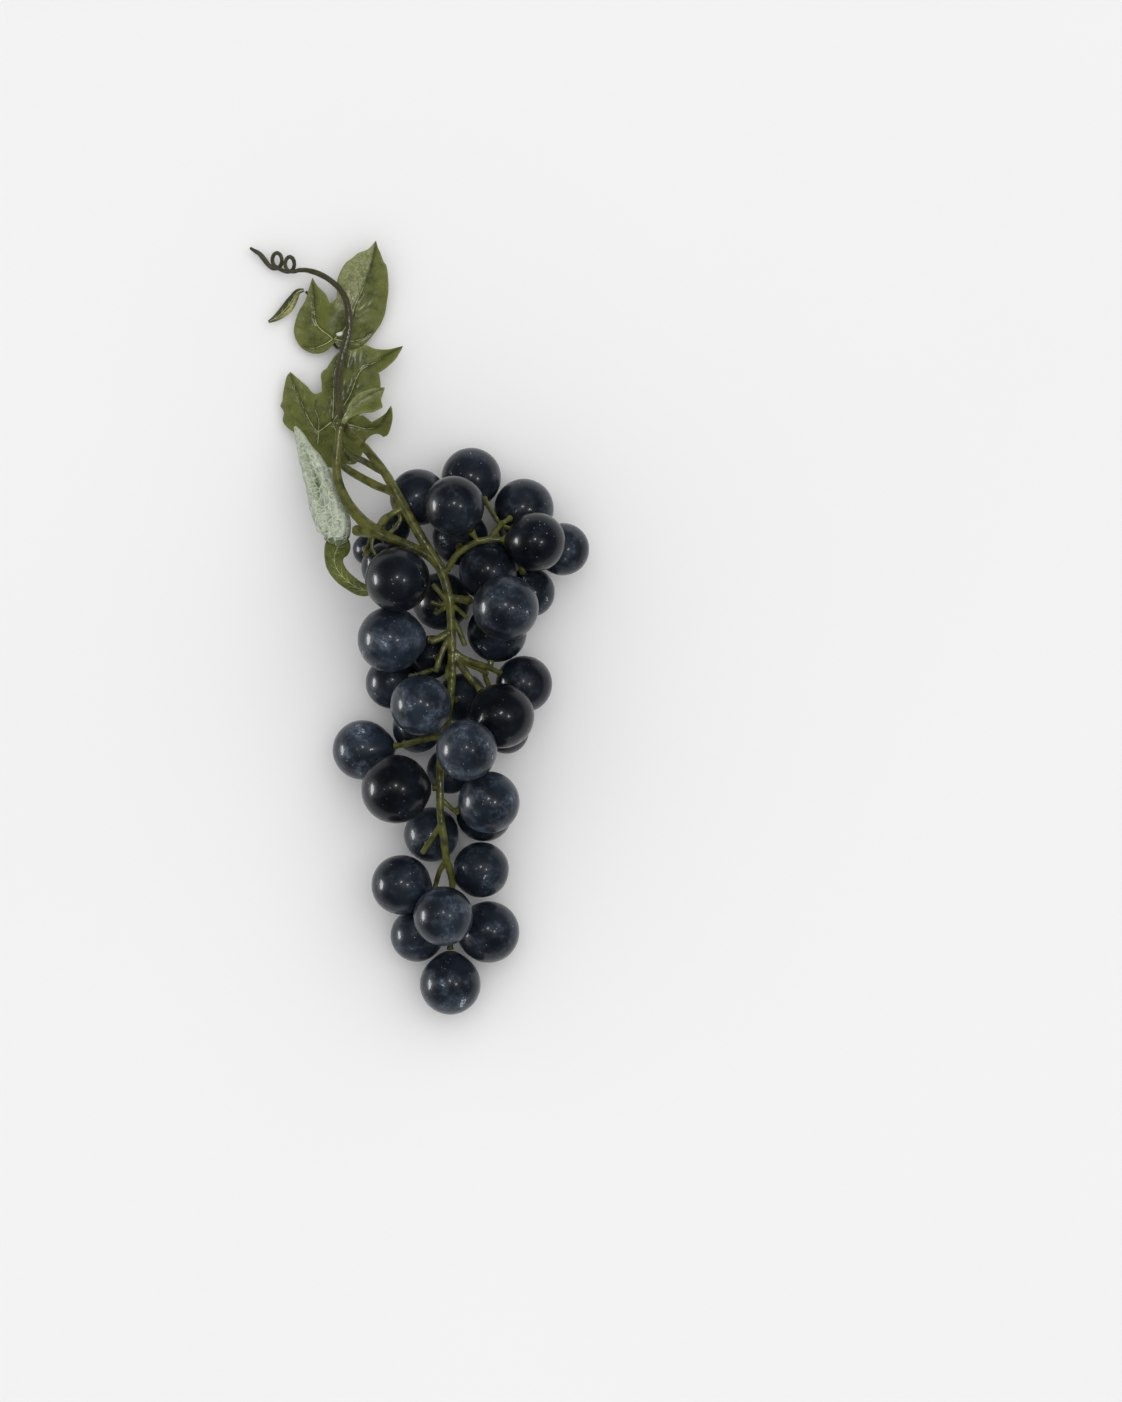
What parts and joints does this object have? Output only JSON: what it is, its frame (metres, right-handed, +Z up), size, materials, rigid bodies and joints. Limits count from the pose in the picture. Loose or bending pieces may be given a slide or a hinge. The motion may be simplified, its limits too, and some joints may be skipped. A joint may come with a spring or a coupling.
{
  "type": "bunch of grapes",
  "caption": "Bunch of dark blue grapes lying down, with its branched stem, a leafy shoot and a curled tendril at the top.",
  "frame": {"origin": "centre of the footprint at the surface the bunch lies on", "axes": "+Z up, +Y along the bunch from the lowest berry to the shoot, +X to the right seen from above"},
  "size_m": [0.1362, 0.3104, 0.0622],
  "materials": {
    "berry_skin": "satin blue-black skin with a patchy grey-blue bloom",
    "stem_bark": "satin olive green, browner towards the tendril",
    "leaf_green": "satin olive green with paler veins",
    "leaf_underside": "pale silvery green underside with raised veins"
  },
  "bodies": {
    "root": {"berry_01": "berry_skin", "berry_02": "berry_skin", "berry_03": "berry_skin", "berry_04": "berry_skin", "berry_05": "berry_skin", "berry_06": "berry_skin", "berry_07": "berry_skin", "berry_08": "berry_skin", "berry_09": "berry_skin", "berry_10": "berry_skin", "berry_11": "berry_skin", "berry_12": "berry_skin", "berry_13": "berry_skin", "berry_14": "berry_skin", "berry_15": "berry_skin", "berry_16": "berry_skin", "berry_17": "berry_skin", "berry_18": "berry_skin", "berry_19": "berry_skin", "berry_20": "berry_skin", "berry_21": "berry_skin", "berry_22": "berry_skin", "berry_23": "berry_skin", "berry_24": "berry_skin", "berry_25": "berry_skin", "berry_26": "berry_skin", "berry_27": "berry_skin", "berry_28": "berry_skin", "berry_29": "berry_skin", "berry_30": "berry_skin", "berry_31": "berry_skin", "berry_32": "berry_skin", "berry_33": "berry_skin", "berry_34": "berry_skin", "berry_35": "berry_skin", "berry_36": "berry_skin", "berry_37": "berry_skin", "berry_38": "berry_skin", "berry_39": "berry_skin", "stem": "stem_bark", "lobed_leaf": "leaf_green", "toothed_leaf": "leaf_green", "folded_leaf": "leaf_green", "young_leaf": "leaf_green", "rolled_leaf": "leaf_underside"}
  },
  "joints": []
}
